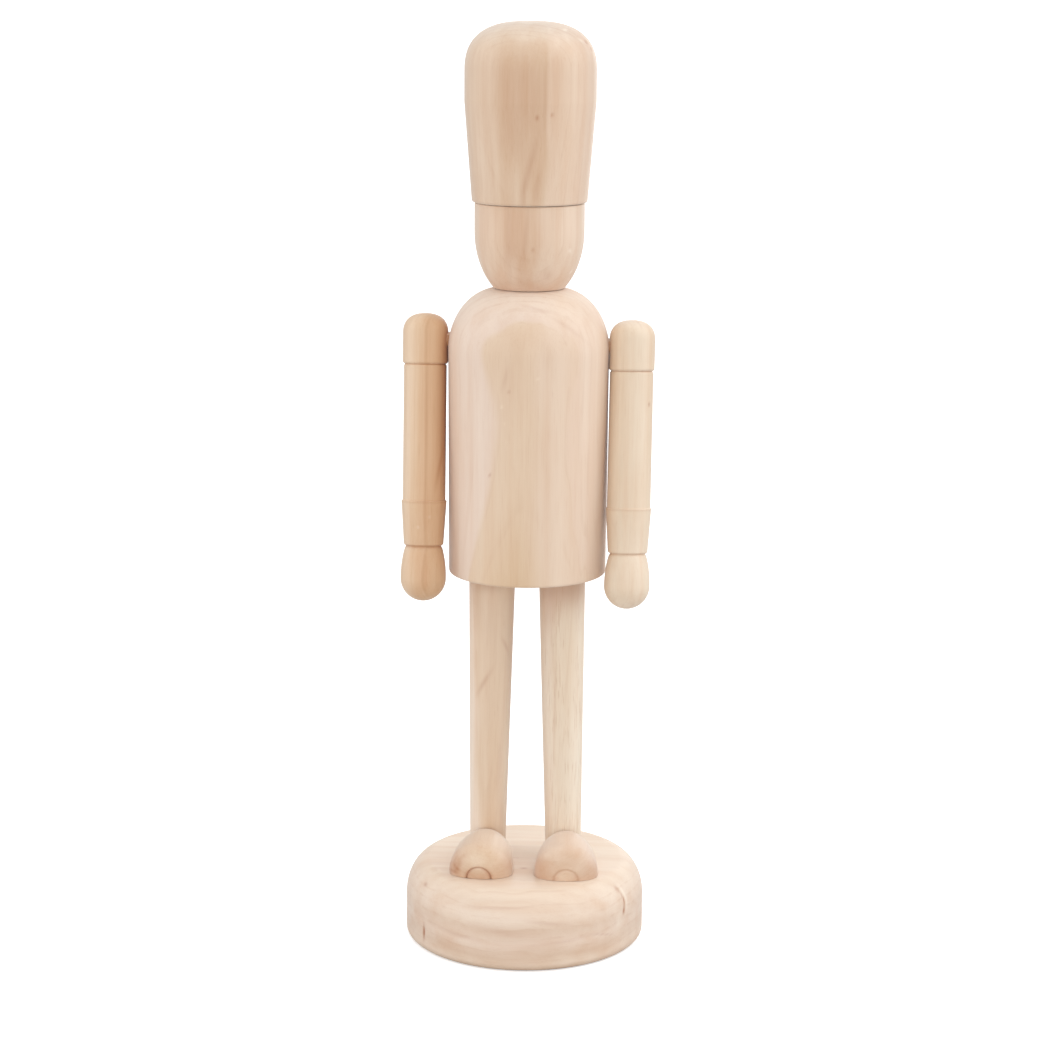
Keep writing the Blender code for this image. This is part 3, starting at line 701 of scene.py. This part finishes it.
def wood(name, seed, centre, turn, pith, stops, lean=(0, 0), bow=0.0, wander=1.5, ripple=0.0, stray=0.0, ring=2.4,
         lines=0.12, streaks=0.30, pores=(0.14, 0.64), cut=(238, 221, 203), ends=0.16, veils=(), marked=True):
    """Bare sanded wood. Its grain runs along the local Z that turn gives about centre. Growth rings are
    cylinders about a pith that leans and bows with height: q = length(x - px - lx z, y - py - ly z - bow z z), with
    the place shaken by slow noise as far as wander. Ripple moves the rings about in clouds, and stray in long waves
    on the +X side. The stops colour q directly, and each veil (strength, (from, to), colour) tints the wood where
    x runs between two values. End grain goes towards the colour cut; on the upright pieces that takes in their
    upward faces, so a paler cut there is partly painted light on the tops. Thin darker latewood lines repeat every
    ring, as strong as lines on the sides and ends on end grain, and long streaks, fine fibres, pores and, on a
    marked piece, the stains, pale marks and painted shade of its attribute come over them."""
    material = bpy.data.materials.new(name)
    material.use_nodes = True
    tree = material.node_tree
    shader = tree.nodes["Principled BSDF"]
    start = Field(tree)
    rotation = Euler(turn)
    shift = -(rotation.to_matrix() @ Vector(centre))
    place = start.add("Mapping", {"vector_type": "POINT"}, {
        "Vector": start.add("TexCoord", out="Object"), "Location": shift, "Rotation": rotation, "Scale": (1 / MM,) * 3,
    })
    own = place.add("VectorMath", {"operation": "ADD"}, {0: place, 1: (37.1 * seed, 11.7 * seed, 53.3 * seed)})
    shake = own.noise(0.045, 0.012, 2.0, out=1)
    shake = shake.add("VectorMath", {"operation": "SUBTRACT"}, {0: shake, 1: (0.5, 0.5, 0.5)})
    shake = shake.add("VectorMath", {"operation": "SCALE"}, {0: shake, 3: 2 * wander})
    moved = place.add("VectorMath", {"operation": "ADD"}, {0: place, 1: shake})
    x, y, z = moved.parts()
    px = x - (pith[0] + lean[0] * z)
    py = y - (pith[1] + lean[1] * z + bow * z * z)
    q = (px * px + py * py) ** 0.5 + 2 * ripple * (own.noise(0.040, 0.036, 3.0) - 0.5)
    if stray:
        q = q + stray * x.math("MAXIMUM", x, 0.0) * (own.noise(0.11, 0.011, 2.0) - 0.42)
    low, high = stops[0][0], stops[-1][0]
    colour = q.add("ValToRGB", {"stops": [((at - low) / (high - low), tone(*shade)) for at, shade in stops]},
                   {0: (q - low) / (high - low)})
    for strength, reach, shade in veils:
        aside = x + 7.0 * (own.noise(0.075, 0.030, 2.0) - 0.5)
        colour = (strength * aside.step(*reach)).blend(colour, tone(*shade))
    facing = start.add("VectorRotate", {"rotation_type": "EULER_XYZ"}, {
        "Vector": start.add("TexCoord", out="Normal"), "Rotation": rotation,
    })
    upward = facing.parts()[2]
    # End grain takes the colour cut: the wood's end grain, and on the upright pieces' tops partly painted light
    end = upward.math("ABSOLUTE", upward).step(0.40, 1.0)
    colour = (0.55 * end).blend(colour, tone(*cut))
    slow = own.noise(0.10, 0.02, 3.0)
    colour = (0.30 * slow.step(0.40, 0.72)).blend(colour, CLOUD_TINT, "MULTIPLY")
    unequal = q.add("TexNoise", {"noise_dimensions": "1D"}, {"W": q * 0.37 + 3.1 * seed, "Scale": 1.0})
    years = (q + 1.6 * unequal) / ring
    phase = years.math("FRACT", years)
    late = phase.step(0.70, 0.955) * phase.step(1.0, 0.965)
    broken = own.noise(0.35, 0.012, 2.0).step(0.36, 0.66)
    colour = ((lines * broken + ends * end) * late).blend(colour, LATEWOOD)
    streak = own.noise(0.22, 0.007, 2.0, 0.5)
    colour = (streaks * streak.step(0.44, 0.72)).blend(colour, STREAK_TINT, "MULTIPLY")
    colour = (0.6 * streaks * streak.step(0.50, 0.26)).blend(colour, PALE_FIBRE)
    thread = own.noise(1.0, 0.016, 3.0, 0.55)
    colour = (0.5 * streaks * thread.step(0.50, 0.80)).blend(colour, THREAD_TINT, "MULTIPLY")
    fibre = own.noise(3.6, 0.10, 3.0, 0.6)
    colour = (0.15 * fibre.step(0.50, 0.80)).blend(colour, FIBRE_TINT, "MULTIPLY")
    colour = (0.07 * fibre.step(0.46, 0.22)).blend(colour, PALE_FIBRE)
    pore_strength, pore_from = pores
    pore = own.noise(2.8, 0.11, 2.0, 0.6).step(pore_from, pore_from + 0.08)
    pore = pore * own.noise(0.28, 0.025, 1.0).step(0.36, 0.60)
    colour = (pore_strength * pore).blend(colour, LATEWOOD)
    dots = own.noise(2.6, 0.4, 2.0).step(0.52, 0.74)
    colour = (0.12 * end * dots).blend(colour, LATEWOOD)
    height = 0.55 * fibre - 0.8 * pore - 0.25 * late * broken + 0.3 * dots * end
    if marked:
        mark = start.add("Attribute", {"attribute_name": "mark"}, out="Fac")
        colour = mark.math("MAXIMUM", mark, 0.0).blend(colour, STAIN_AND_SHADE)
        colour = mark.math("MAXIMUM", -1 * mark, 0.0).blend(colour, NICK)
    tree.links.new(colour.socket, shader.inputs["Base Color"])
    gloss = 0.44 + 0.10 * streak + 0.12 * pore + 0.10 * end - 0.05 * late
    tree.links.new(gloss.socket, shader.inputs["Roughness"])
    bump = height.add("Bump", None, {"Strength": 0.35, "Distance": 0.00012, "Height": height})
    tree.links.new(bump.socket, shader.inputs["Normal"])
    shader.inputs["Specular IOR Level"].default_value = 0.5
    shader.inputs["Sheen Weight"].default_value = 0.3
    shader.inputs["Sheen Roughness"].default_value = 0.35
    return material


def zinc():
    """Zinc plate: blue-grey and yellow patches with a fine grain."""
    material = bpy.data.materials.new("screw_zinc")
    material.use_nodes = True
    tree = material.node_tree
    shader = tree.nodes["Principled BSDF"]
    start = Field(tree)
    place = start.add("TexCoord", out="Object")
    patch = place.add("TexNoise", None, {"Vector": place, "Scale": 900.0, "Detail": 3.0})
    fine = place.add("TexNoise", None, {"Vector": place, "Scale": 5200.0, "Detail": 2.0})
    colour = patch.step(0.40, 0.66).blend(tone(186, 188, 190), tone(205, 196, 172))
    tree.links.new(colour.socket, shader.inputs["Base Color"])
    tree.links.new((0.26 + 0.22 * fine + 0.12 * patch).socket, shader.inputs["Roughness"])
    bump = fine.add("Bump", None, {"Strength": 0.25, "Distance": 0.00003, "Height": fine})
    tree.links.new(bump.socket, shader.inputs["Normal"])
    shader.inputs["Metallic"].default_value = 1.0
    return material


# Each turned piece's wood: its colours from the pith outwards, and how its grain lies
woods = {
    "turned_hat": wood("hat_wood", 1, (0, FIGURE_SETBACK, 265), LEVEL, (6, 30), [
        (8, (226, 200, 176)), (22, (220, 192, 166)), (33, (234, 210, 187)), (36, (230, 206, 183)),
        (40, (218, 193, 171)), (46, (222, 196, 170)), (49.2, (215, 184, 155)), (52, (210, 176, 146))],
        lean=(0.02, 0.0), wander=1.2, ring=2.0, lines=0.10, streaks=0.22, cut=(228, 213, 197),
        veils=[(0.55, (5.2, 7.6), (227, 199, 176)), (0.45, (-7.0, -11.0), (219, 191, 167))]),
    "turned_head": wood("head_wood", 2, (0, FIGURE_SETBACK, 230), LEVEL, (-2, 24), [
        (4, (226, 200, 176)), (16, (220, 190, 164)), (28, (230, 205, 183)), (38.0, (226, 199, 175)),
        (40.6, (220, 189, 162)), (42, (216, 183, 154))],
        wander=1.1, ring=1.5, lines=0.12, streaks=0.28, veils=[(0.50, (1.5, 5.5), (232, 209, 188))]),
    "turned_body": wood("body_wood", 3, (0, FIGURE_SETBACK, 165), LEVEL, (0, 42.1), [
        (14, (230, 206, 184)), (34, (224, 196, 170)), (48, (228, 200, 174)), (54, (230, 207, 189)),
        (63, (230, 207, 189)), (66.2, (229, 206, 188)), (66.7, (225, 199, 173)), (69, (224, 197, 169)),
        (72, (220, 192, 160))],
        lean=(0.0, -0.031), bow=0.00147, wander=1.8, stray=0.55, ring=2.6, lines=0.10, streaks=0.15,
        ends=0.08, veils=[(0.80, (0, 9), (229, 204, 182))]),
    # This leg's stops and veil make its sides paler than its front: painted sheen
    "turned_left_leg": wood("left_leg_wood", 4, (12, FIGURE_SETBACK, 75), LEVEL, (0, 20), [
        (12, (228, 203, 176)), (20, (242, 229, 208)), (23.5, (240, 226, 207)), (25.2, (237, 221, 201)),
        (26.6, (233, 214, 191)), (27.6, (230, 210, 186))],
        wander=0.8, ring=1.1, lines=0.14, streaks=0.26, pores=(0.26, 0.56),
        veils=[(0.60, (-2.0, -6.0), (235, 216, 197))]),
    # This leg's stops and veil make its -X side paler than its front: painted sheen
    "turned_right_leg": wood("right_leg_wood", 5, (-12, FIGURE_SETBACK, 75), LEVEL, (3, 20), [
        (12, (224, 196, 166)), (20.2, (228, 203, 177)), (22.6, (240, 223, 203)), (24.6, (234, 213, 190)),
        (26.2, (224, 198, 171)), (27.5, (221, 193, 166))],
        lean=(0.03, 0.0), wander=0.9, ring=1.7, lines=0.12, streaks=0.26,
        veils=[(0.85, (-1.5, -5.5), (239, 221, 204))]),
    "turned_left_foot": wood("left_foot_wood", 6, (13.9, -14, 30), (QUARTER, 0, 0), (-6, -22), [
        (10, (227, 203, 182)), (20, (223, 198, 176)), (26, (229, 206, 186)), (36, (223, 196, 171))],
        wander=0.8, ripple=0.9, ring=1.3, lines=0.05, streaks=0.24, cut=(222, 192, 162), ends=0.05),
    "turned_right_foot": wood("right_foot_wood", 7, (-12.5, -14, 30), (QUARTER, 0, 0), (4, -24), [
        (10, (225, 201, 178)), (20, (221, 196, 172)), (26, (227, 205, 184)), (36, (221, 194, 168))],
        wander=0.8, ripple=0.9, ring=1.2, lines=0.06, streaks=0.24, cut=(220, 188, 154), ends=0.06),
    "turned_left_arm": wood("left_arm_wood", 8, arm_centre("left_arm"), (ARM_SWING, 0, 0), (24, 12), [
        (14, (231, 210, 186)), (22, (227, 205, 179)), (27, (232, 212, 189)), (33, (227, 205, 179)),
        (40, (226, 201, 173))],
        wander=1.0, ring=2.6, lines=0.06, streaks=0.28),
    "turned_right_arm": wood("right_arm_wood", 9, arm_centre("right_arm"), (ARM_SWING, 0, 0), (-30, 10), [
        (20, (227, 203, 176)), (26, (224, 196, 166)), (31, (221, 188, 155)), (34.9, (219, 184, 149)),
        (35.5, (210, 171, 134)), (36.2, (217, 179, 142)), (42, (214, 174, 135))],
        wander=0.5, ring=2.2, lines=0.10, streaks=0.26, cut=(222, 190, 156)),
    "turned_base": wood("base_wood", 10, (0, 0, 0), (0, -QUARTER, 0), (160, -14), [
        (150, (228, 203, 180)), (161, (222, 194, 168)), (164, (230, 206, 184)), (167, (218, 190, 166)),
        (171, (232, 209, 190)), (175, (224, 198, 176)), (179, (233, 212, 193)), (184, (228, 206, 185)),
        (188, (232, 212, 191)), (196, (226, 203, 180))],
        wander=1.6, ripple=2.6, ring=3.4, lines=0.15, streaks=0.20, cut=(226, 204, 186), ends=0.03),
}
dowel_wood = wood("dowel_rod_wood", 12, (0, 0, 0), LEVEL, (20, 10), [
    (5, (226, 196, 156)), (25, (218, 184, 140)), (45, (228, 198, 160))], ring=1.6, lines=0.4, marked=False)
# The pegs are dark brown as painted shade in the gaps between the arms and the body
peg_shade_wood = wood("peg_rod_shade_wood", 13, (0, 0, 0), LEVEL, (20, 10), [
    (5, (168, 116, 74)), (25, (150, 100, 62)), (45, (172, 120, 78))], ring=1.6, lines=0.4, marked=False)
screw_zinc = zinc()
rods = {"dowel": dowel_wood, "peg": peg_shade_wood, "screw": screw_zinc}


# Assembly


def dress(piece, node, body):
    """Gives a turned piece its wood, and sets it in its CAD node's stead on that node's body."""
    piece.data.materials.append(woods[piece.name])
    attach(piece, body)
    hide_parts(node)


dress(make_base(), "base", "figure")
dress(make_body(), "body", "figure")
dress(make_head(), "head", "figure")
dress(make_hat(), "hat", "figure")
for side_name, side in (("left", 1), ("right", -1)):
    dress(make_leg(f"{side_name}_leg", side), f"{side_name}_leg", "figure")
    dress(make_foot(f"{side_name}_foot", side, *TOES[side_name]), f"{side_name}_foot", "figure")
dress(make_arm("left_arm"), "left_arm", "left_arm")
dress(make_arm("right_arm"), "right_arm", "right_arm")

for node_name, node in frame["nodes"].items():
    kind = node_name.split("_")[-1]
    if kind in rods:
        node.data.materials.clear()
        node.data.materials.append(rods[kind])


# Floor, light and camera

DAYLIGHT = (0.965, 0.985, 1.0)

# Each soft box: its name, its place and the point that it faces in metres, its power in watts, its width and height
SOFTBOXES = [
    ("right_softbox", (1.0, 0.05, 0.50), (0, 0, 0.16), 3.3, 0.7, 0.9),
    ("left_softbox", (-1.0, -0.1, 0.40), (0, 0, 0.16), 2.2, 0.7, 0.9),
    ("front_softbox", (-0.15, -1.25, 0.35), (0, 0, 0.14), 4.6, 1.0, 0.8),
    ("back_softbox", (0.25, 1.2, 0.45), (0, 0, 0.15), 2.4, 0.9, 0.8),
]


def make_floor():
    """A wide level disc: rings at radius 0.02 (1 + i)^2.6 about the base, closed by one vertex in the middle. The
    camera sees it lit a little from within, and it throws back less light than it shows."""
    rings, columns = 22, 96
    radius = 20 * (1 + np.arange(rings))[::-1, None] ** 2.6
    bearing = bearings(columns)
    points = np.stack([radius * np.sin(bearing), -radius * np.cos(bearing), 0 * radius * bearing], axis=-1)
    points = np.concatenate([points.reshape(-1, 3), [(0, 0, 0)]])
    faces = [grid_faces(rings, columns), fan_faces(np.arange(columns) + (rings - 1) * columns, rings * columns, True)]
    floor = wooden_piece("studio_floor", points, faces, np.zeros(len(points)))
    material = bpy.data.materials.new("studio_floor_white")
    material.use_nodes = True
    tree = material.node_tree
    shown = tree.nodes["Principled BSDF"]
    shown.inputs["Base Color"].default_value = (0.95, 0.95, 0.95, 1)
    shown.inputs["Roughness"].default_value = 0.9
    shown.inputs["Specular IOR Level"].default_value = 0.1
    shown.inputs["Emission Color"].default_value = (1, 1, 1, 1)
    shown.inputs["Emission Strength"].default_value = 0.45
    start = Field(tree)
    bounce = start.add("BsdfDiffuse", None, {"Color": (0.58, 0.57, 0.56, 1)})
    seen = start.add("LightPath", out="Is Camera Ray")
    mixed = start.add("MixShader", None, {0: seen, 1: bounce, 2: Field(tree, shown.outputs[0])})
    tree.links.new(mixed.socket, tree.nodes["Material Output"].inputs["Surface"])
    floor.data.materials.append(material)


def softbox(name, at, aim, power, width, height):
    """A rectangular lamp at a place, turned to face a point."""
    lamp = bpy.data.lights.new(name, "AREA")
    lamp.shape = "RECTANGLE"
    lamp.size, lamp.size_y = width, height
    lamp.energy, lamp.color = power, DAYLIGHT
    obj = bpy.data.objects.new(name, lamp)
    obj.location = at
    obj.rotation_euler = (Vector(aim) - Vector(at)).to_track_quat("-Z", "Y").to_euler()
    bpy.context.scene.collection.objects.link(obj)


def make_studio():
    """A white surround that the camera sees a little brighter, soft boxes on four sides and a diffuser overhead."""
    world = bpy.data.worlds.new("white_surround")
    world.use_nodes = True
    surround = Field(world.node_tree)
    seen = surround.add("LightPath", out="Is Camera Ray")
    background = world.node_tree.nodes["Background"]
    background.inputs["Color"].default_value = (*DAYLIGHT, 1)
    world.node_tree.links.new((0.70 + 0.35 * seen).socket, background.inputs["Strength"])
    bpy.context.scene.world = world
    for box in SOFTBOXES:
        softbox(*box)
    sky = bpy.data.lights.new("overhead_diffuser", "SUN")
    sky.energy, sky.angle = 0.95, math.radians(80)
    sky.color = DAYLIGHT
    overhead = bpy.data.objects.new("overhead_diffuser", sky)
    overhead.rotation_euler = Vector((-0.28, 0.05, -1.0)).to_track_quat("-Z", "Y").to_euler()
    bpy.context.scene.collection.objects.link(overhead)


def make_camera():
    """The photograph's view: 830 mm from the base's middle, 314.6 mm up, 3.5 degrees towards the figure's left. The
    focal length was found in the photograph's own pixels."""
    away, up, about = 0.830, 0.3146, math.radians(3.5)
    pan, pitch, roll = math.radians(0.044), math.radians(90 - 11.952), math.radians(0.38)
    sensor, focal_pixels, picture_pixels = 36.0, 2608.5, 1050
    lens = bpy.data.cameras.new("photo_lens")
    lens.sensor_fit, lens.sensor_width, lens.lens = "HORIZONTAL", sensor, sensor * focal_pixels / picture_pixels
    lens.clip_start, lens.clip_end = 0.01, 200.0
    camera = bpy.data.objects.new("photo_camera", lens)
    camera.location = (away * math.sin(about), -away * math.cos(about), up)
    facing = Matrix.Rotation(about + pan, 3, "Z") @ Matrix.Rotation(pitch, 3, "X") @ Matrix.Rotation(roll, 3, "Z")
    camera.rotation_euler = facing.to_euler()
    bpy.context.scene.collection.objects.link(camera)
    bpy.context.scene.camera = camera


make_floor()
make_studio()
make_camera()
bpy.context.scene.view_settings.view_transform = "Standard"
